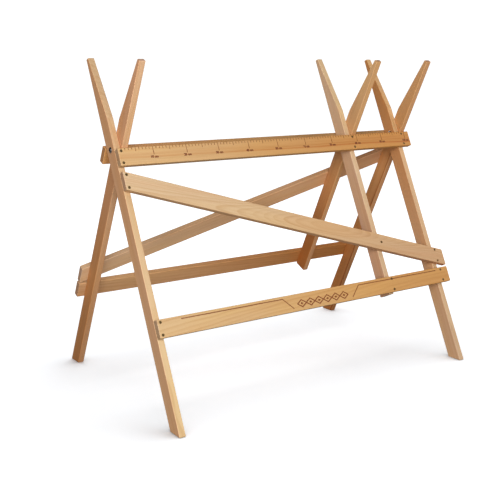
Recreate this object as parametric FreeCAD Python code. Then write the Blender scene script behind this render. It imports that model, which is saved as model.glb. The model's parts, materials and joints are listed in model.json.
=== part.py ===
import FreeCAD, Part
import math
import os

# A folding log sawhorse in beech. Two flat frames of legs and boards cross as three X trestles and fold
# together about one pivot line. Millimetres: X runs along the boards, -Y is the front, +Z is up, and the
# origin is on the floor, below the pivot line, halfway between the outermost legs.
# Each frame is drawn upright with the pivot line on the X axis and its boards on the -Y side of its legs,
# where a height is counted from the pivot line. The front frame is then leaned backwards. The rear frame is
# turned round and leaned forwards, so the two frames are alike except for the place of the middle leg.

# Stance
lean = 25.5                     # of every leg, from upright, in degrees
pivot_height = 664.0

# Legs
leg_thickness = 18.0            # along X
leg_width = 43.0                # across, in the plane of the trestle
leg_gap = 0.5                   # between the two legs of a trestle
leg_above_pivot = 262.0
taper_start = 79.0              # height above the pivot where the cradle side begins to taper
tip_width = 12.0
short_leg_below_pivot = 507.0   # the middle legs stop just under the lower rails

# Boards
board_length = 1020.0
board_width = 47.0
board_thickness = 18.0
brace_high_drop = 70.0          # pivot line down to the brace's top edge, at its high end
brace_low_drop = 402.5          # the same at its low end
lower_rail_drop = 456.0         # pivot line down to the lower rail's top edge
edge_radius = 2.0               # every sawn edge is eased
stop_play = 0.1                 # between the upper rail and the opposite legs that rest on it

# Places along a board, from its end at the outermost leg
far_leg_offset = 980.5
middle_leg_offset = 775.5

# Engraving
engraving_depth = 0.4
tick_pitch = 10.0
tick_count = 100
tick_width = 1.8
short_tick = 6.5
half_tick = 10.5                # at every fifth centimetre
long_tick = 23.0                # at every tenth centimetre
line_width = 2.6
line_drop = 8.0                 # rail's top edge down to the long line
motif_centre = 517.5            # along the rail
line_outer_reach = 449.0        # motif centre to the long line's outer end
line_inner_reach = 135.5        # motif centre to the corner of the long line
line_slant = 30.0               # the line's inner end drops by as much as it runs inwards
lozenge_count = 6
lozenge_length = 30.0
lozenge_height = 20.0
lozenge_line_width = 3.2
lozenge_core_share = 0.36       # size of the filled lozenge inside each one
lozenge_centre_drop = 28.0      # rail's top edge down to the middle of the lozenges

# Countersunk wood screws
screw_length = 40.0
screw_radius = 2.0
screw_head_radius = 3.9
screw_head_land = 0.4
screw_sink = 0.3                # head below the board's face
screw_point = 6.0
screw_edge_distance = 7.5       # from the board's edges
recess_arm = 2.0
recess_width = 0.9
recess_depth = 1.5

# M6 carriage bolts, washers and lock nuts
bolt_radius = 3.0
bolt_length = 45.0
bolt_head_radius = 8.0
bolt_head_height = 3.5
bolt_head_land = 0.4
bolt_neck_side = 6.0
bolt_neck_length = 3.6
bolt_end_chamfer = 0.7
bore_radius = 3.05
washer_play = 0.2
washer_radius = 9.0
washer_bore_radius = 3.2
washer_thickness = 1.6
nut_flats = 10.0
nut_hex_height = 4.6
nut_collar_height = 1.4
nut_collar_radius = 4.5
nut_chamfer = 0.5

# Worked out from the sizes above
Vector = FreeCAD.Vector
x_axis = Vector(1, 0, 0)
y_axis = Vector(0, 1, 0)
z_axis = Vector(0, 0, 1)
lean_sin = math.sin(math.radians(lean))
lean_cos = math.cos(math.radians(lean))
half_leg = leg_width / 2
board_front = -half_leg - board_thickness
pair_thickness = 2 * leg_thickness + leg_gap
legs_span = far_leg_offset + pair_thickness
board_start = -legs_span / 2
board_end = board_start + board_length
brace_fall = (brace_low_drop - brace_high_drop) / board_length
brace_upright_width = board_width * math.sqrt(1 + brace_fall ** 2)
# The legs of the other frame come to rest on the rounded inner edge of the upper rail.
upper_rail_drop = (half_leg + edge_radius) * lean_sin / lean_cos - edge_radius + stop_play

outer_leg_left = board_start
middle_leg_left = board_start + middle_leg_offset
far_leg_left = board_start + far_leg_offset


def eased(solid):
    return solid.makeFillet(edge_radius, solid.Edges)


def upright_prism(points, thickness):
    """Extrudes an outline in the YZ plane along +X."""
    return Part.Face(Part.makePolygon(points + points[:1])).extrude(x_axis * thickness)


def floor_height(y):
    """Height of the floor below the pivot, along the leaning leg, at a depth y from its centre line."""
    return -(pivot_height - y * lean_sin) / lean_cos


def leg(left, reaches_floor):
    """A leg with its cradle side towards -Y, tapered above the crossing."""
    lower_front = floor_height(-half_leg) if reaches_floor else -short_leg_below_pivot
    lower_back = floor_height(half_leg) if reaches_floor else -short_leg_below_pivot
    outline = [
        Vector(left, -half_leg, lower_front),
        Vector(left, -half_leg, taper_start),
        Vector(left, half_leg - tip_width, leg_above_pivot),
        Vector(left, half_leg, leg_above_pivot),
        Vector(left, half_leg, lower_back),
    ]
    return eased(upright_prism(outline, leg_thickness))


def board(drop_at_start, drop_at_end, upright_width):
    """A board across the legs, with its ends cut along the legs even where it slopes."""
    outline = [
        Vector(board_start, board_front, -drop_at_start),
        Vector(board_end, board_front, -drop_at_end),
        Vector(board_end, board_front, -drop_at_end - upright_width),
        Vector(board_start, board_front, -drop_at_start - upright_width),
    ]
    face = Part.Face(Part.makePolygon(outline + outline[:1]))
    return eased(face.extrude(y_axis * board_thickness))


def turned_about_y(profile, x, z):
    """Revolves an outline of (radius, depth) points about an axis along +Y that enters a board's face."""
    points = [Vector(x + radius, board_front + depth, z) for radius, depth in profile]
    face = Part.Face(Part.makePolygon(points + points[:1]))
    return face.revolve(Vector(x, board_front, z), y_axis, 360)


def screw_profile(top):
    """Half section of a countersunk wood screw whose head starts at the depth top."""
    cone_start = screw_sink + screw_head_land
    cone_end = cone_start + screw_head_radius - screw_radius
    return [
        (0, top),
        (screw_head_radius, top),
        (screw_head_radius, cone_start),
        (screw_radius, cone_end),
        (screw_radius, screw_length - screw_point),
        (0, screw_length),
    ]


def screw(x, z):
    solid = turned_about_y(screw_profile(screw_sink), x, z)
    for across, up in ((recess_arm, recess_width / 2), (recess_width / 2, recess_arm)):
        corner = Vector(x - across, board_front, z - up)
        arm = Part.makeBox(2 * across, screw_sink + recess_depth, 2 * up, corner)
        solid = solid.cut(arm)
    return solid


def screw_hole(x, z):
    return turned_about_y(screw_profile(0), x, z)


def stroke(start, end, width):
    """Cutter for one engraved line with round ends, between two (x, height) points on a board's face."""
    ahead = Vector(end[0] - start[0], 0, end[1] - start[1]).normalize()
    aside = ahead.cross(y_axis) * (width / 2)
    outside = board_front - 1
    depth = 1 + engraving_depth
    start_point = Vector(start[0], outside, start[1])
    end_point = Vector(end[0], outside, end[1])
    corners = [start_point + aside, end_point + aside, end_point - aside, start_point - aside]
    bar = Part.Face(Part.makePolygon(corners + corners[:1])).extrude(y_axis * depth)
    rounds = [Part.makeCylinder(width / 2, depth, point, y_axis) for point in (start_point, end_point)]
    return bar.fuse(rounds)


def path_strokes(points, width):
    return [stroke(a, b, width) for a, b in zip(points[:-1], points[1:])]


def ruler_ticks():
    """A tick at each centimetre from the rail's left end, longer at each fifth and tenth one."""
    cutters = []
    for number in range(1, tick_count + 1):
        length = short_tick
        if number % 5 == 0:
            length = half_tick
        if number % 10 == 0:
            length = long_tick
        x = board_start + number * tick_pitch - tick_width / 2
        corner = Vector(x, board_front - 1, -upper_rail_drop - length)
        cutters.append(Part.makeBox(tick_width, 1 + engraving_depth, length + 1, corner))
    return cutters


def lozenge_corners(centre, middle, share):
    """Corners of a lozenge about a point, from its left one round to the same one again."""
    reach = share * lozenge_length / 2
    rise = share * lozenge_height / 2
    left = (centre - reach, middle)
    return [left, (centre, middle + rise), (centre + reach, middle), (centre, middle - rise), left]


def filled_area(points):
    """Cutter for an engraved area with straight sides on a board's face."""
    outline = Part.makePolygon([Vector(x, board_front - 1, height) for x, height in points])
    return Part.Face(outline).extrude(y_axis * (1 + engraving_depth))


def rail_decoration():
    """Two long lines that turn down towards a row of lozenges between them."""
    centre = board_start + motif_centre
    line_height = -lower_rail_drop - line_drop
    cutters = []
    for side in (-1, 1):
        line = [
            (centre + side * line_outer_reach, line_height),
            (centre + side * line_inner_reach, line_height),
            (centre + side * (line_inner_reach - line_slant), line_height - line_slant),
        ]
        cutters += path_strokes(line, line_width)
    middle = -lower_rail_drop - lozenge_centre_drop
    for number in range(lozenge_count):
        place = centre + (number - (lozenge_count - 1) / 2) * lozenge_length
        cutters += path_strokes(lozenge_corners(place, middle, 1), lozenge_line_width)
        cutters.append(filled_area(lozenge_corners(place, middle, lozenge_core_share)))
    return cutters


def leg_bore(left):
    """Cutter for the pivot bore through a leg."""
    start = Vector(left - 1, 0, 0)
    return Part.makeCylinder(bore_radius, leg_thickness + 2, start, x_axis)


def neck_block(left):
    corner = Vector(left, -bolt_neck_side / 2, -bolt_neck_side / 2)
    return Part.makeBox(bolt_neck_length, bolt_neck_side, bolt_neck_side, corner)


def turned_about_x(edges):
    face = Part.Face(Part.Wire(edges))
    return face.revolve(Vector(0, 0, 0), x_axis, 360)


def pivot_bolt(left):
    """A carriage bolt with its domed head on the left face of a front leg and its square neck sunk in it."""
    dome_rise = bolt_head_height - bolt_head_land
    dome_radius = (bolt_head_radius ** 2 + dome_rise ** 2) / (2 * dome_rise)
    half_radius = bolt_head_radius / 2
    half_drop = dome_radius - math.sqrt(dome_radius ** 2 - half_radius ** 2)
    end = left + bolt_length
    crown = Vector(left - bolt_head_height, 0, 0)
    shoulder = Vector(left - bolt_head_height + half_drop, 0, half_radius)
    rim = Vector(left - bolt_head_land, 0, bolt_head_radius)
    outline = [
        rim,
        Vector(left, 0, bolt_head_radius),
        Vector(left, 0, bolt_radius),
        Vector(end - bolt_end_chamfer, 0, bolt_radius),
        Vector(end, 0, bolt_radius - bolt_end_chamfer),
        Vector(end, 0, 0),
        crown,
    ]
    edges = [Part.Arc(crown, shoulder, rim).toShape()]
    edges += Part.makePolygon(outline).Edges
    return turned_about_x(edges).fuse(neck_block(left)).removeSplitter()


def pivot_washer(left):
    disc = Part.makeCylinder(washer_radius, washer_thickness, Vector(left, 0, 0), x_axis)
    bore = Part.makeCylinder(washer_bore_radius, washer_thickness, Vector(left, 0, 0), x_axis)
    rims = [edge for edge in disc.Edges if edge.Closed]
    return disc.makeFillet(0.3, rims).cut(bore)


def pivot_nut(left):
    """A hexagon lock nut, with the collar of its insert on the outside."""
    corner_radius = nut_flats / math.sqrt(3)
    corners = []
    for number in range(6):
        angle = math.radians(60 * number)
        corners.append(Vector(left, corner_radius * math.cos(angle), corner_radius * math.sin(angle)))
    hexagon = Part.Face(Part.makePolygon(corners + corners[:1])).extrude(x_axis * nut_hex_height)
    turned = Part.makeCylinder(corner_radius, nut_hex_height, Vector(left, 0, 0), x_axis)
    rims = [edge for edge in turned.Edges if edge.Closed]
    body = hexagon.common(turned.makeChamfer(nut_chamfer, rims))
    height = nut_hex_height + nut_collar_height
    collar = Part.makeCylinder(nut_collar_radius, height, Vector(left, 0, 0), x_axis)
    outer_rim = [edge for edge in collar.Edges if edge.Closed and edge.CenterOfMass.x > left + height / 2]
    collar = collar.makeFillet(nut_chamfer, outer_rim)
    bore = Part.makeCylinder(bolt_radius, height, Vector(left, 0, 0), x_axis)
    return body.fuse(collar).cut(bore)


def flat_frame(middle_left):
    """The legs, boards and screws of one upright frame, as name to shape."""
    leg_lefts = {"outer_leg": outer_leg_left, "middle_leg": middle_left, "far_leg": far_leg_left}
    legs = {name: leg(left, name != "middle_leg") for name, left in leg_lefts.items()}
    drops = {
        "upper_rail": (upper_rail_drop, upper_rail_drop, board_width),
        "brace": (brace_high_drop, brace_low_drop, brace_upright_width),
        "lower_rail": (lower_rail_drop, lower_rail_drop, board_width),
    }
    shapes = {}
    for board_name, (drop_at_start, drop_at_end, upright_width) in drops.items():
        plank = board(drop_at_start, drop_at_end, upright_width)
        screws = []
        for leg_name, left in leg_lefts.items():
            x = left + leg_thickness / 2
            along = (x - board_start) / board_length
            middle = -drop_at_start - along * (drop_at_end - drop_at_start) - upright_width / 2
            spread = upright_width / 2 - screw_edge_distance
            heights = (middle + spread, middle - spread)
            if board_name == "brace" and leg_name == "middle_leg":
                heights = (middle,)
            holes = [screw_hole(x, height) for height in heights]
            plank = plank.cut(holes)
            legs[leg_name] = legs[leg_name].cut(holes)
            screws += [screw(x, height) for height in heights]
        shapes[board_name] = plank
        shapes[board_name + "_screws"] = Part.makeCompound(screws)
    for leg_name in ("outer_leg", "far_leg"):
        legs[leg_name] = legs[leg_name].cut(leg_bore(leg_lefts[leg_name]))
    return {**shapes, **legs}


def lean_front(shape):
    leaned = shape.rotated(Vector(0, 0, 0), x_axis, -lean)
    return leaned.translated(z_axis * pivot_height)


def lean_rear(shape):
    leaned = shape.rotated(Vector(0, 0, 0), z_axis, 180).rotated(Vector(0, 0, 0), x_axis, lean)
    return leaned.translated(z_axis * pivot_height)


def write_node(name, shape):
    shape.exportStep("parts/" + name + ".step")


front_names = {
    "outer_leg": "left_front_leg",
    "middle_leg": "middle_front_leg",
    "far_leg": "right_front_leg",
    "upper_rail": "ruler_rail",
    "brace": "front_diagonal_brace",
    "lower_rail": "front_lower_rail",
    "upper_rail_screws": "ruler_rail_screws",
    "brace_screws": "front_diagonal_brace_screws",
    "lower_rail_screws": "front_lower_rail_screws",
}
rear_names = {
    "outer_leg": "right_rear_leg",
    "middle_leg": "middle_rear_leg",
    "far_leg": "left_rear_leg",
    "upper_rail": "rear_upper_rail",
    "brace": "rear_diagonal_brace",
    "lower_rail": "rear_lower_rail",
    "upper_rail_screws": "rear_upper_rail_screws",
    "brace_screws": "rear_diagonal_brace_screws",
    "lower_rail_screws": "rear_lower_rail_screws",
}
# The outer trestles turn on a bolt each. The middle legs cross without one.
pivots = {"left": ("outer_leg", outer_leg_left), "right": ("far_leg", far_leg_left)}

os.makedirs("parts", exist_ok=True)

front_frame = flat_frame(middle_leg_left)
front_frame["upper_rail"] = front_frame["upper_rail"].cut(ruler_ticks())
front_frame["lower_rail"] = front_frame["lower_rail"].cut(rail_decoration())
for leg_key, left in pivots.values():
    front_frame[leg_key] = front_frame[leg_key].cut(neck_block(left))
for key, node in front_names.items():
    write_node(node, lean_front(front_frame[key]))

rear_middle_leg_left = -(middle_leg_left + pair_thickness)
rear_frame = flat_frame(rear_middle_leg_left)
for key, node in rear_names.items():
    write_node(node, lean_rear(rear_frame[key]))

for side, (leg_key, left) in pivots.items():
    washer_left = left + pair_thickness + washer_play
    nut_left = washer_left + washer_thickness
    write_node(side + "_pivot_bolt", lean_front(pivot_bolt(left)))
    write_node(side + "_pivot_washer", lean_front(pivot_washer(washer_left)))
    write_node(side + "_pivot_nut", lean_front(pivot_nut(nut_left)))
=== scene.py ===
import json
import math
from collections import namedtuple

import bmesh
import bpy
from mathutils import Matrix, Vector

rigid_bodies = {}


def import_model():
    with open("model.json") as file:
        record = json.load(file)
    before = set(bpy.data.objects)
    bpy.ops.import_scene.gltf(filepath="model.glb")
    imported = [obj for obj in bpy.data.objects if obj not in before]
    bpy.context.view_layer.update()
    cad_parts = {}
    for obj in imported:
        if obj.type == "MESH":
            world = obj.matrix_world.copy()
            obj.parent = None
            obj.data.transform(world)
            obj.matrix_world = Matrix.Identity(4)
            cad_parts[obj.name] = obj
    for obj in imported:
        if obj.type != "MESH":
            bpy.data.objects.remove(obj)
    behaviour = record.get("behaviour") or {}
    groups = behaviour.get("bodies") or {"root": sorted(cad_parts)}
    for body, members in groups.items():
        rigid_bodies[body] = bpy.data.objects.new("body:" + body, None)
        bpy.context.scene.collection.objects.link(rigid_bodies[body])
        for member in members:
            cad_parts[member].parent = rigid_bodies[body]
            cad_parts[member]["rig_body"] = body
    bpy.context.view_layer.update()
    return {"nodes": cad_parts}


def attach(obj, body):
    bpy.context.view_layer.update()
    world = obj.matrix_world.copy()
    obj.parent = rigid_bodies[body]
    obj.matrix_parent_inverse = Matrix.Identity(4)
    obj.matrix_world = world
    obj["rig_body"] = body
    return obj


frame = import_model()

# ---------------------------------------------------------------- sizes, in metres

MM = 0.001
LABEL_STEP = 10  # centimetres from one label to the next
RULER_LABELS = 10
LABEL_DROP = 28.5 * MM  # centre of a label below the rail's top edge
LABEL_HEIGHT = 9.2 * MM
LABEL_WEIGHT = 0.50 * MM  # how far the letters' outlines are pushed out
LABEL_RELIEF = 0.04 * MM  # half the thickness of a label
TICK_PITCH = 10 * MM
TICK_WIDTH = 1.8 * MM
ENGRAVING_DEPTH = 0.4 * MM
EDGE_RADIUS = 2.0 * MM


# ---------------------------------------------------------------- how a board lies

BoardSpace = namedtuple("BoardSpace", "axes centre half")


def board_space(node, thickness_hint, width_hint):
    """The grain, width and thickness directions of a board or leg, its middle and its half sizes.

    The directions come from the normals of its largest flat faces. The hints only settle their signs.
    """
    faces = sorted(node.data.polygons, key=lambda face: face.area, reverse=True)
    thickness = faces[0].normal.copy()
    width = next(face.normal for face in faces if abs(face.normal.dot(thickness)) < 0.01).copy()
    if thickness.dot(thickness_hint) < 0:
        thickness.negate()
    if width.dot(width_hint) < 0:
        width.negate()
    axes = Matrix((width.cross(thickness), width, thickness))
    corners = [axes @ vertex.co for vertex in node.data.vertices]
    low = Vector(min(point[i] for point in corners) for i in range(3))
    high = Vector(max(point[i] for point in corners) for i in range(3))
    return BoardSpace(axes, (low + high) / 2, (high - low) / 2)


# ---------------------------------------------------------------- node trees in short calls

class Shader:
    """One material's node tree. Each call adds a node and returns its output socket."""

    def __init__(self, name):
        self.material = bpy.data.materials.new(name)
        self.material.use_nodes = True
        self.tree = self.material.node_tree
        self.tree.nodes.clear()

    def put(self, kind, inputs, output=0, **settings):
        """Add a node of this kind, link or set its inputs, and return one of its outputs."""
        node = self.tree.nodes.new("ShaderNode" + kind)
        for setting, value in settings.items():
            setattr(node, setting, value)
        for key, value in inputs.items():
            if isinstance(value, bpy.types.NodeSocket):
                self.tree.links.new(value, node.inputs[key])
            else:
                node.inputs[key].default_value = value
        return node.outputs[output]

    def math(self, operation, a, b=0.0):
        return self.put("Math", {0: a, 1: b}, operation=operation)

    def add(self, a, b):
        return self.math("ADD", a, b)

    def less(self, a, b):
        return self.math("SUBTRACT", a, b)

    def times(self, a, b):
        return self.math("MULTIPLY", a, b)

    def ramp(self, value, low, high, start=0.0, end=1.0):
        """A smooth step from start at low to end at high."""
        inputs = {"Value": value, "From Min": low, "From Max": high, "To Min": start, "To Max": end}
        return self.put("MapRange", inputs, interpolation_type="SMOOTHSTEP")

    def stretch(self, vector, factors):
        return self.put("VectorMath", {0: vector, 1: factors}, operation="MULTIPLY")

    def noise(self, vector, factors, detail=2.0, roughness=0.5):
        inputs = {"Vector": self.stretch(vector, factors), "Scale": 1.0, "Detail": detail}
        return self.put("TexNoise", {**inputs, "Roughness": roughness})

    def cells(self, vector, factors, output="Distance"):
        return self.put("TexVoronoi", {"Vector": self.stretch(vector, factors), "Scale": 1.0}, output)

    def split(self, vector):
        node = self.put("SeparateXYZ", {"Vector": vector}).node
        return node.outputs[0], node.outputs[1], node.outputs[2]

    def blend(self, factor, a, b, kind="MIX"):
        inputs = {0: factor, 6: a, 7: b}
        return self.put("Mix", inputs, 2, data_type="RGBA", blend_type=kind)

    def tint(self, colour, factor, multiplier):
        """The colour multiplied by a colour, as far as factor says."""
        return self.blend(factor, colour, (*multiplier, 1.0), "MULTIPLY")

    def bump(self, height, strength, distance):
        return self.put("Bump", {"Height": height, "Strength": strength, "Distance": distance})

    def finish(self, surface):
        """The material, with this shader as its surface."""
        output = self.tree.nodes.new("ShaderNodeOutputMaterial")
        self.tree.links.new(surface, output.inputs["Surface"])
        return self.material

    def finish_principled(self, colour, roughness, normal, metallic=0.0, specular=0.5):
        inputs = {"Base Color": colour, "Roughness": roughness, "Normal": normal}
        fixed = {"Metallic": metallic, "Specular IOR Level": specular}
        return self.finish(self.put("BsdfPrincipled", {**inputs, **fixed}))


# ---------------------------------------------------------------- beech wood

# Where the tree's middle lies from the board's middle and how it is tilted along the grain, the
# width of a year ring, how strongly rings show, and how much they wander. A bulge brings the tree's
# middle closer to the face over a stretch, which shows as nested ovals. Sizes in metres.
Cut = namedtuple(
    "Cut",
    "side depth side_tilt depth_tilt pitch contrast wander bulge bulge_place bulge_reach",
    defaults=(0.0, 0.0, 1.0),
)
QUARTER = Cut(0.30, 0.02, 0.010, 0.0, 2.6 * MM, 0.55, 5 * MM)
RIFT = Cut(0.14, 0.10, 0.022, 0.0, 3.0 * MM, 0.6, 7 * MM)
FLAT = Cut(0.002, 0.058, 0.055, 0.0, 2.1 * MM, 0.72, 3 * MM, 18 * MM, 0.10, 0.24)
WAVY = Cut(-0.09, 0.06, 0.075, 0.012, 8.0 * MM, 0.6, 12 * MM)

# Colours that the beech is multiplied by, and the colours of burnt wood.
LATEWOOD = (0.84, 0.74, 0.62)
ROSY = (0.97, 0.86, 0.80)
HONEY = (1.03, 1.0, 0.86)
FLECK = (0.80, 0.68, 0.56)
END_GRAIN = (0.78, 0.77, 0.91)
# The rounded edges are lightened by this, partly as wear and partly as a painted highlight.
WORN_AND_HIGHLIGHT = (1.30, 1.33, 1.36)
BURNT = (0.18, 0.038, 0.007, 1.0)
BURNT_EDGE = (0.25, 0.070, 0.016, 1.0)
DEEP_BURNT = (0.15, 0.028, 0.006, 1.0)


def burnt_ticks(shader, x, y, z, half):
    """Where the ruler's ticks run over the rounded upper edge of the rail."""
    along = shader.math("PINGPONG", shader.add(x, half.x), TICK_PITCH / 2)
    near_tick = shader.math("LESS_THAN", along, TICK_WIDTH / 2)
    on_edge = shader.math("GREATER_THAN", y, half.y - EDGE_RADIUS)
    in_front = shader.math("GREATER_THAN", z, half.z - EDGE_RADIUS)
    return shader.times(near_tick, shader.times(on_edge, in_front))


def burnt_recess(shader, x, y, z, half):
    """Where the engraving lies below the board's outer face, clear of the rounded edges."""
    below = shader.ramp(z, half.z - 0.04 * MM, half.z - 0.2 * MM)
    not_deeper = shader.math("GREATER_THAN", z, half.z - ENGRAVING_DEPTH - 0.1 * MM)
    across = shader.math("LESS_THAN", shader.math("ABSOLUTE", y), half.y - EDGE_RADIUS)
    along = shader.math("LESS_THAN", shader.math("ABSOLUTE", x), half.x - EDGE_RADIUS)
    return shader.times(shader.times(below, not_deeper), shader.times(across, along))


def year_rings(shader, local, wander, cut):
    """How dark the latewood is here, and a slow change of tone from one group of years to the next."""
    x, y, z = local
    side = shader.add(shader.less(y, cut.side), shader.times(x, -cut.side_tilt))
    depth = shader.add(shader.add(z, cut.depth), shader.times(x, cut.depth_tilt))
    if cut.bulge:
        from_bulge = shader.math("DIVIDE", shader.less(x, cut.bulge_place), cut.bulge_reach)
        bell = shader.math("EXPONENT", shader.times(shader.times(from_bulge, from_bulge), -1.0))
        depth = shader.less(depth, shader.times(bell, cut.bulge))
    radius = shader.math("SQRT", shader.add(shader.times(side, side), shader.times(depth, depth)))
    rings = shader.math("DIVIDE", shader.add(radius, wander), cut.pitch)
    phase = shader.math("FRACT", rings)
    latewood = shader.times(shader.ramp(phase, 0.25, 0.93), shader.ramp(phase, 1.0, 0.93))
    year = shader.put("TexWhiteNoise", {"W": shader.math("FLOOR", rings)}, noise_dimensions="1D")
    years = {"W": shader.times(rings, 0.19), "Scale": 1.0, "Detail": 1.0}
    period = shader.put("TexNoise", years, noise_dimensions="1D")
    return shader.times(latewood, shader.ramp(year, -0.4, 1.0)), period


def facing(shader, axes):
    """How squarely the surface faces along each of the axes, from 0 to 1."""
    normal = shader.put("TexCoord", {}, "Normal")
    squareness = []
    for axis in axes:
        share = shader.put("VectorMath", {0: normal, 1: axis}, "Value", operation="DOT_PRODUCT")
        squareness.append(shader.math("ABSOLUTE", share))
    return squareness


def wood(name, space, tones_and_shade, cut, seed, streaks=(), engraved=False, ticks=False):
    """Oiled beech for one board: year rings, fibres, ray flecks, end grain, worn edges lightened also as
    a painted highlight, and burnt marks.

    Local x runs along the grain, y across the width and z through the thickness. The colours given are
    those at the first end, where x is lowest, and at the last end, and then what the colours of the
    broad faces are multiplied by at each of them. Both hold painted light and shade besides the wood's
    own tone, along the board and on the broad faces.
    """
    shader = Shader(name)
    coordinates = shader.put("TexCoord", {}, "Object")
    turned = {"Vector": coordinates, "Rotation": space.axes.to_euler(), "Location": -space.centre}
    local = shader.put("Mapping", turned, vector_type="POINT")
    x, y, z = shader.split(local)
    offset = (seed * 0.731, seed * 0.417, seed * 0.293)
    grain = shader.put("VectorMath", {0: local, 1: offset}, operation="ADD")

    slow = shader.less(shader.noise(grain, (2.2, 9.0, 9.0), 2.0), 0.5)
    ripple = shader.less(shader.noise(grain, (11.0, 40.0, 40.0), 1.0), 0.5)
    wander = shader.add(shader.times(slow, 2 * cut.wander), shader.times(ripple, 0.35 * cut.wander))
    ring_tone, period = year_rings(shader, (x, y, z), wander, cut)

    # Fibres, soft clouds of tone and the small flecks of the rays.
    fibre = shader.noise(grain, (9.0, 800.0, 800.0), 3.0, 0.6)
    strand = shader.noise(grain, (3.0, 150.0, 150.0), 2.0, 0.55)
    cloud = shader.noise(grain, (3.2, 22.0, 22.0), 2.0)
    ray_cell = (330.0, 2300.0, 2300.0)
    ray_near = shader.ramp(shader.cells(grain, ray_cell), 0.42, 0.22)
    ray_pick = shader.ramp(shader.split(shader.cells(grain, ray_cell, "Color"))[0], 0.55, 0.75)
    rays = shader.times(ray_near, ray_pick)

    # End grain where the surface faces along the grain, and wear with a painted highlight where it faces
    # along no axis, on the rounded edges.
    lengthwise, sideways, outward = facing(shader, space.axes)
    end = shader.ramp(lengthwise, 0.45, 0.8)
    flattest = shader.math("MAXIMUM", lengthwise, shader.math("MAXIMUM", sideways, outward))
    edge = shader.ramp(flattest, 0.90, 0.74)
    scuff = shader.ramp(shader.noise(grain, (20.0, 60.0, 60.0), 2.0), 0.3, 0.65, 0.7, 1.0)
    wear_and_highlight = shader.times(edge, scuff)

    # The tone of the whole board, with painted light and shade along it and on its broad faces, then its
    # rings, its soft changes and its fine marks.
    along = shader.ramp(x, -space.half.x, space.half.x)
    first, last, face_shading_first, face_shading_last = [(*part, 1.0) for part in tones_and_shade]
    colour = shader.blend(along, first, last)
    # The broad faces take painted light and shade.
    shaded_face_colour = shader.blend(1.0, colour, shader.blend(along, face_shading_first, face_shading_last), "MULTIPLY")
    colour = shader.blend(shader.ramp(outward, 0.55, 0.85), colour, shaded_face_colour)
    colour = shader.tint(colour, shader.times(ring_tone, cut.contrast), LATEWOOD)
    colour = shader.tint(colour, shader.ramp(period, 0.38, 0.68, 0.0, 0.75 * cut.contrast), ROSY)
    colour = shader.tint(colour, shader.ramp(cloud, 0.35, 0.7, 0.0, 0.8), HONEY)
    colour = shader.tint(colour, shader.ramp(strand, 0.35, 0.75, 0.0, 0.35), LATEWOOD)
    colour = shader.tint(colour, shader.ramp(fibre, 0.4, 0.8, 0.0, 0.35), LATEWOOD)
    colour = shader.tint(colour, shader.times(rays, 0.55), FLECK)
    for streak in streaks:
        bend = shader.less(shader.times(slow, 0.012), shader.times(x, streak.slope))
        away = shader.math("ABSOLUTE", shader.less(shader.add(y, bend), streak.place))
        stained = shader.ramp(away, streak.half_width, 0.0)
        stained = shader.times(stained, shader.ramp(strand, 0.2, 0.65, 0.5, 1.0))
        stained = shader.times(stained, shader.ramp(along, *streak.change))
        colour = shader.tint(colour, shader.times(stained, streak.strength), streak.stain)
    colour = shader.tint(colour, end, END_GRAIN)
    # Rounded edges lightened: wear and a painted highlight.
    colour = shader.tint(colour, shader.times(wear_and_highlight, 0.75), WORN_AND_HIGHLIGHT)

    roughness = shader.add(shader.ramp(fibre, 0.3, 0.75, 0.44, 0.58), shader.times(end, 0.2))
    roughness = shader.less(roughness, shader.times(edge, 0.06))
    relief = shader.add(shader.times(fibre, 0.6), shader.times(ring_tone, 0.25))
    relief = shader.less(relief, shader.times(rays, 0.35))
    if engraved:
        burn = burnt_recess(shader, x, y, z, space.half)
        if ticks:
            burn = shader.math("MAXIMUM", burn, burnt_ticks(shader, x, y, z, space.half))
        char = shader.blend(shader.ramp(strand, 0.3, 0.7), BURNT, BURNT_EDGE)
        colour = shader.blend(shader.times(burn, 0.92), colour, char)
        roughness = shader.add(roughness, shader.times(burn, 0.2))
    bumped = shader.bump(relief, 0.5, 0.06 * MM)
    return shader.finish_principled(colour, roughness, bumped, specular=0.42)


# ---------------------------------------------------------------- metals and burnt lettering

def metal(name, tone, dark_tone, low_rough, high_rough, speck_size, seed):
    """Plated or bare steel, with patches in its finish, fine scratches and darker rubbed specks."""
    shader = Shader(name)
    coordinates = shader.put("TexCoord", {}, "Object")
    offset = (seed * 0.37, seed * 0.61, seed * 0.83)
    place = shader.put("VectorMath", {0: coordinates, 1: offset}, operation="ADD")
    size = 1.0 / speck_size
    patch = shader.noise(place, (0.35 * size,) * 3, 3.0)
    speck = shader.noise(place, (size,) * 3, 4.0, 0.65)
    scratch = shader.noise(place, (9 * size, 0.6 * size, 3 * size), 2.0)
    colour = shader.blend(shader.ramp(patch, 0.3, 0.72), (*tone, 1.0), (*dark_tone, 1.0))
    colour = shader.tint(colour, shader.ramp(speck, 0.55, 0.75, 0.0, 0.6), (0.55, 0.5, 0.46))
    roughness = shader.ramp(shader.add(shader.times(speck, 0.6), shader.times(scratch, 0.4)),
                            0.35, 0.7, low_rough, high_rough)
    bumped = shader.bump(shader.add(speck, shader.times(scratch, 0.5)), 0.25, 0.02 * MM)
    return shader.finish_principled(colour, roughness, bumped, metallic=1.0)


def burnt_lettering():
    """The scorched brown of the ruler's numbers, lighter where the burn is shallow."""
    shader = Shader("burnt_lettering")
    place = shader.put("TexCoord", {}, "Object")
    shallow = shader.ramp(shader.noise(place, (350.0, 350.0, 350.0), 3.0, 0.6), 0.35, 0.7)
    colour = shader.blend(shallow, DEEP_BURNT, BURNT)
    roughness = shader.ramp(shallow, 0.0, 1.0, 0.75, 0.6)
    bumped = shader.bump(shallow, 0.4, 0.05 * MM)
    return shader.finish_principled(colour, roughness, bumped)


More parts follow.
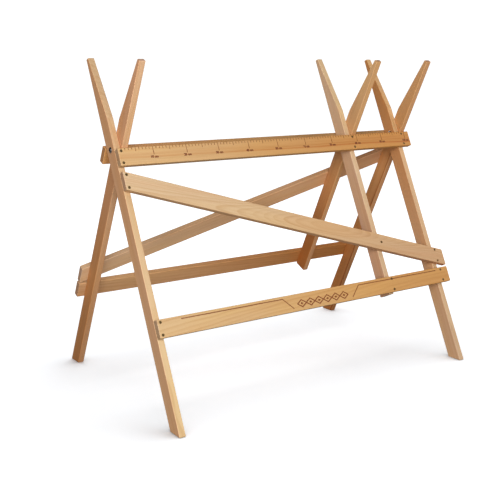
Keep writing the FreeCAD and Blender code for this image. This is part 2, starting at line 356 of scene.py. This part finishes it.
def give(node, material):
    """The material in every material slot of a node's object."""
    if not node.material_slots:
        node.data.materials.append(material)
    for slot in node.material_slots:
        slot.material = material


# ---------------------------------------------------------------- the timber

BEECH = (0.66, 0.455, 0.235)


def tone(red, green, blue):
    """Beech with its red, green and blue changed by these factors."""
    return BEECH[0] * red, BEECH[1] * green, BEECH[2] * blue


UP = Vector((0, 0, 1))
OUTWARD = {"front_frame": Vector((0, -1, 0)), "rear_frame": Vector((0, 1, 0))}
ASIDE = {"front_frame": Vector((1, 0, 0)), "rear_frame": Vector((-1, 0, 0))}

# A streak's place across the width, slope, half width, strength and stain, and how it changes along the
# board: where the change starts and ends, on a smooth step from 0 at the first end to 1 at the last, and
# the share of its strength at each.
Streak = namedtuple("Streak", "place slope half_width strength stain change")
GROWING = (0.0, 0.7, 0.45, 1.0)
BELOW_PIVOT = (0.76, 0.87, 1.0, 0.0)
PALE_BROWN = (0.86, 0.70, 0.55)
RED_BROWN = (0.80, 0.50, 0.28)
RULER_STREAKS = (
    Streak(1.0 * MM, 0.0, 12 * MM, 0.5, PALE_BROWN, GROWING),
    Streak(-6.5 * MM, -0.005, 3.8 * MM, 1.0, RED_BROWN, GROWING),
    Streak(-1.0 * MM, 0.003, 1.8 * MM, 0.5, RED_BROWN, GROWING),
)
DARK_BROWN = (0.55, 0.36, 0.20)
# A dark brown line along the right rear leg near one edge, full from the foot and fading out towards the
# top.
RIGHT_REAR_LEG_DARK_LINE = (Streak(-18.0 * MM, 0.0, 5 * MM, 1.0, DARK_BROWN, BELOW_PIVOT),)
STREAKS = {"ruler_rail": RULER_STREAKS, "right_rear_leg": RIGHT_REAR_LEG_DARK_LINE}
PLAIN = (1.0, 1.0, 1.0)

# node: its colours at the first end, which is the foot of a leg, and at the last end, what its broad
# faces are multiplied by at each of them, and its cut. The end colours are partly the wood's tone and
# partly painted light and shade along the board, and the broad-face factors are mostly painted light and
# shade on those faces.
TIMBER = {
    "left_front_leg": (
        tone(1.10, 1.17, 1.24), tone(0.98, 1.01, 1.25),
        (1.02, 0.86, 0.90), (1.16, 0.96, 0.88), QUARTER,
    ),
    "middle_front_leg": (
        tone(1.05, 1.17, 1.62), tone(1.22, 1.36, 1.62),
        (0.96, 0.77, 0.73), (1.02, 0.93, 1.00), RIFT,
    ),
    "right_front_leg": (
        tone(1.05, 1.13, 1.48), tone(1.20, 1.15, 1.15),
        (1.02, 0.90, 0.84), (0.83, 0.59, 0.41), QUARTER,
    ),
    "left_rear_leg": (
        tone(0.95, 0.74, 0.69), tone(1.16, 1.08, 1.24),
        (0.90, 0.76, 0.52), (1.02, 0.90, 0.88), RIFT,
    ),
    "middle_rear_leg": (
        tone(1.00, 0.80, 0.79), tone(1.11, 0.96, 0.84),
        (0.80, 0.53, 0.25), (1.06, 1.14, 1.32), QUARTER,
    ),
    "right_rear_leg": (
        tone(0.92, 0.67, 0.50), tone(1.06, 0.88, 0.87),
        (1.02, 0.82, 0.60), (1.01, 1.03, 0.97), RIFT,
    ),
    "ruler_rail": (tone(1.05, 1.03, 1.01), tone(0.96, 0.69, 0.35), PLAIN, PLAIN, QUARTER),
    "front_diagonal_brace": (
        tone(1.03, 0.96, 1.04), tone(0.97, 0.80, 0.80),
        (1.03, 1.20, 1.35), (1.03, 1.21, 1.35), FLAT,
    ),
    "front_lower_rail": (tone(1.02, 1.03, 1.06), tone(0.99, 0.78, 0.48), PLAIN, PLAIN, WAVY),
    "rear_upper_rail": (tone(0.99, 0.88, 0.74), tone(1.00, 0.78, 0.57), PLAIN, PLAIN, QUARTER),
    "rear_diagonal_brace": (tone(1.05, 0.91, 0.98), tone(1.13, 1.14, 1.38), PLAIN, PLAIN, RIFT),
    "rear_lower_rail": (tone(0.86, 0.54, 0.30), tone(1.02, 0.92, 0.96), PLAIN, PLAIN, WAVY),
}
ENGRAVED = {"ruler_rail", "front_lower_rail"}

nodes = frame["nodes"]
spaces = {}
for number, (name, (*tones_and_shade, cut)) in enumerate(TIMBER.items()):
    node = nodes[name]
    outward = OUTWARD[node["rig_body"]]
    is_leg = name.endswith("_leg")
    hints = (ASIDE[node["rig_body"]], outward) if is_leg else (outward, UP)
    spaces[name] = board_space(node, *hints)
    streaks = STREAKS.get(name, ())
    marks = {"streaks": streaks, "engraved": name in ENGRAVED, "ticks": name == "ruler_rail"}
    give(node, wood(name + "_beech", spaces[name], tones_and_shade, cut, number + 1, **marks))

zinc = metal("yellow_zinc", (0.29, 0.20, 0.092), (0.155, 0.105, 0.048), 0.46, 0.62, 2.5 * MM, 1)
bolt_steel = metal("bolt_steel", (0.36, 0.38, 0.41), (0.25, 0.26, 0.28), 0.16, 0.32, 4 * MM, 2)
washer_steel = metal("washer_steel", (0.50, 0.50, 0.49), (0.36, 0.36, 0.35), 0.28, 0.45, 3 * MM, 3)
nut_steel = metal("nut_steel", (0.46, 0.47, 0.48), (0.32, 0.33, 0.34), 0.22, 0.38, 3 * MM, 4)
HARDWARE = {
    "_screws": zinc,
    "_pivot_bolt": bolt_steel,
    "_pivot_washer": washer_steel,
    "_pivot_nut": nut_steel,
}
for name, node in nodes.items():
    for ending, finish in HARDWARE.items():
        if name.endswith(ending):
            give(node, finish)


# ---------------------------------------------------------------- ruler numbers

def ruler_label(space, centimetres, material):
    """The words "N cm" below the ruler's tick at N centimetres, lying on the rail's outer face."""
    name = f"ruler_label_{centimetres}_cm"
    text = bpy.data.curves.new(name, "FONT")
    text.body = f"{centimetres} cm"
    text.size = LABEL_HEIGHT
    text.align_x = "CENTER"
    text.align_y = "CENTER"
    text.extrude = LABEL_RELIEF
    text.offset = LABEL_WEIGHT
    text.materials.append(material)
    label = bpy.data.objects.new(name, text)
    bpy.context.scene.collection.objects.link(label)
    from_left = centimetres / 100 - space.half.x
    place = Vector((from_left, space.half.y - LABEL_DROP, space.half.z + LABEL_RELIEF))
    label.matrix_world = space.axes.inverted().to_4x4() @ Matrix.Translation(space.centre + place)
    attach(label, "front_frame")


lettering = burnt_lettering()
for count in range(1, RULER_LABELS + 1):
    ruler_label(spaces["ruler_rail"], LABEL_STEP * count, lettering)


# ---------------------------------------------------------------- studio

FLOOR_REACH = 20.0
FLOOR_SINK = 0.3 * MM  # the floor lies this much below the feet
CONTACT_REACH = 0.22  # how far the object's contact shadow spreads
SHADE_REACH = 0.40  # how far its wider shade spreads
SHADE_FROM = (0.45, -0.60, 0.66)  # the wider shade falls away from this direction
GLOW_NEAR = 0.5  # from the origin to where the floor's own glow begins to grow
GLOW_FAR = 1.8  # and to where it is full


def pale_floor():
    """A large plain floor, white to the eye, that takes soft shadows and gives little light back.

    It glows for the camera, less near the object, and ambient occlusion dims the glow around its feet
    and away from SHADE_FROM as a painted shadow.
    """
    mesh = bpy.data.meshes.new("floor")
    grid = bmesh.new()
    bmesh.ops.create_grid(grid, x_segments=2, y_segments=2, size=FLOOR_REACH)
    grid.to_mesh(mesh)
    grid.free()
    floor = bpy.data.objects.new("floor", mesh)
    floor.location.z = -FLOOR_SINK
    bpy.context.scene.collection.objects.link(floor)
    shader = Shader("floor_paper")
    place = shader.put("TexCoord", {}, "Object")
    away = shader.put("VectorMath", {0: place}, "Value", operation="LENGTH")
    glow = shader.ramp(away, GLOW_NEAR, GLOW_FAR, 0.70, 1.1)
    # Painted shadow: ambient occlusion dims the glow around the feet, and more widely away from
    # SHADE_FROM.
    open_above = shader.put("AmbientOcclusion", {"Distance": CONTACT_REACH}, "AO", samples=8)
    glow = shader.times(glow, shader.ramp(open_above, 0.35, 0.97, 0.38, 1.0))
    shade_from = shader.put("CombineXYZ", dict(enumerate(SHADE_FROM)))
    around = {"Distance": SHADE_REACH, "Normal": shade_from}
    open_aside = shader.put("AmbientOcclusion", around, "AO", samples=8)
    glow = shader.times(glow, shader.ramp(open_aside, 0.78, 0.93, 0.82, 1.0))
    paper = shader.put("BsdfDiffuse", {"Color": (0.86, 0.875, 0.89, 1.0)})
    light = shader.put("Emission", {"Color": (0.976, 0.998, 1.028, 1.0), "Strength": glow})
    seen = shader.put("AddShader", {0: paper, 1: light})
    bounce = shader.put("BsdfDiffuse", {"Color": (0.53, 0.505, 0.48, 1.0)})
    is_seen = shader.put("LightPath", {}, "Is Camera Ray")
    material = shader.finish(shader.put("MixShader", {0: is_seen, 1: bounce, 2: seen}))
    material.cycles.emission_sampling = "NONE"  # the glow is only seen, and lights nothing
    mesh.materials.append(material)
    return floor


def white_surroundings(above, level):
    """A white background to the eye, and a soft warm light all round for the object."""
    world = bpy.data.worlds.new("studio")
    world.use_nodes = True
    tree = world.node_tree
    tree.nodes.clear()
    output = tree.nodes.new("ShaderNodeOutputWorld")
    direction = tree.nodes.new("ShaderNodeTexCoord")
    height = tree.nodes.new("ShaderNodeSeparateXYZ")
    mix = tree.nodes.new("ShaderNodeMix")
    mix.data_type = "RGBA"
    mix.inputs[6].default_value = (*level, 1.0)
    mix.inputs[7].default_value = (*above, 1.0)
    soft = tree.nodes.new("ShaderNodeBackground")
    seen = tree.nodes.new("ShaderNodeBackground")
    seen.inputs["Color"].default_value = (1.0, 1.0, 1.0, 1.0)
    seen.inputs["Strength"].default_value = 1.1
    path = tree.nodes.new("ShaderNodeLightPath")
    choose = tree.nodes.new("ShaderNodeMixShader")
    tree.links.new(direction.outputs["Generated"], height.inputs[0])
    tree.links.new(height.outputs[2], mix.inputs[0])
    tree.links.new(mix.outputs[2], soft.inputs["Color"])
    tree.links.new(path.outputs["Is Camera Ray"], choose.inputs[0])
    tree.links.new(soft.outputs[0], choose.inputs[1])
    tree.links.new(seen.outputs[0], choose.inputs[2])
    tree.links.new(choose.outputs[0], output.inputs["Surface"])
    bpy.context.scene.world = world


def softbox(name, centre, aim, width, height, power, colour=(1.0, 1.0, 1.0)):
    """A rectangular soft light at centre that shines towards aim."""
    light = bpy.data.lights.new(name, "AREA")
    light.shape = "RECTANGLE"
    light.size = width
    light.size_y = height
    light.energy = power
    light.color = colour
    lamp = bpy.data.objects.new(name, light)
    lamp.location = centre
    lamp.rotation_euler = (Vector(aim) - Vector(centre)).to_track_quat("-Z", "Y").to_euler()
    bpy.context.scene.collection.objects.link(lamp)
    return lamp


def shine_only_on(lamp, target):
    """The lamp lights only the target. Everything still casts its shadow there."""
    receivers = bpy.data.collections.new(lamp.name + "_receivers")
    receivers.objects.link(target)
    lamp.light_linking.receiver_collection = receivers


def shine_past(lamp, target):
    """The lamp lights everything but the target."""
    shine_only_on(lamp, target)
    receivers = lamp.light_linking.receiver_collection
    receivers.collection_objects[0].light_linking.link_state = "EXCLUDE"


def camera_at(place, yaw, pitch, roll, lens, shift):
    """A camera at place that looks along +Y turned by yaw towards +X, pitched up and rolled."""
    across = Vector((math.cos(yaw), -math.sin(yaw), 0))
    ahead = Vector((math.sin(yaw) * math.cos(pitch), math.cos(yaw) * math.cos(pitch), math.sin(pitch)))
    up = across.cross(ahead)
    right = math.cos(roll) * across + math.sin(roll) * up
    top = math.cos(roll) * up - math.sin(roll) * across
    data = bpy.data.cameras.new("camera")
    data.sensor_width = 36.0
    data.lens = lens
    data.shift_x, data.shift_y = shift
    camera = bpy.data.objects.new("camera", data)
    camera.matrix_world = Matrix.Translation(place) @ Matrix((right, top, -ahead)).transposed().to_4x4()
    bpy.context.scene.collection.objects.link(camera)
    bpy.context.scene.camera = camera


floor = pale_floor()
white_surroundings(above=(0.05, 0.048, 0.046), level=(0.075, 0.068, 0.062))
middle = (0.0, 0.0, 0.45)
# name, centre, aim, width, height, power in watts and colour
lamps = [
    softbox("key", (-1.33, -2.31, 1.31), middle, 2.4, 1.8, 78),
    softbox("side_fill", (2.59, -0.69, 1.27), middle, 1.8, 1.8, 31, (1.0, 0.76, 0.60)),
    softbox("left_fill", (-2.75, -0.45, 0.95), middle, 1.6, 1.6, 10, (1.0, 0.84, 0.72)),
    softbox("back_fill", (0.6, 2.4, 1.8), middle, 1.8, 1.8, 27, (1.0, 0.90, 0.80)),
]
wash = softbox("floor_wash", (0.38, 0.0, 3.0), (0.38, 0.0, 0.0), 2.8, 2.8, 49)
shine_only_on(wash, floor)
for lamp in lamps:
    shine_past(lamp, floor)
camera_at(
    place=(-1.5048, -2.0686, 0.9067),
    yaw=math.radians(35.67),
    pitch=math.radians(-10.84),
    roll=math.radians(0.48),
    lens=63.52,
    shift=(-0.0285, -0.0515),
)
bpy.context.scene.view_settings.view_transform = "Standard"
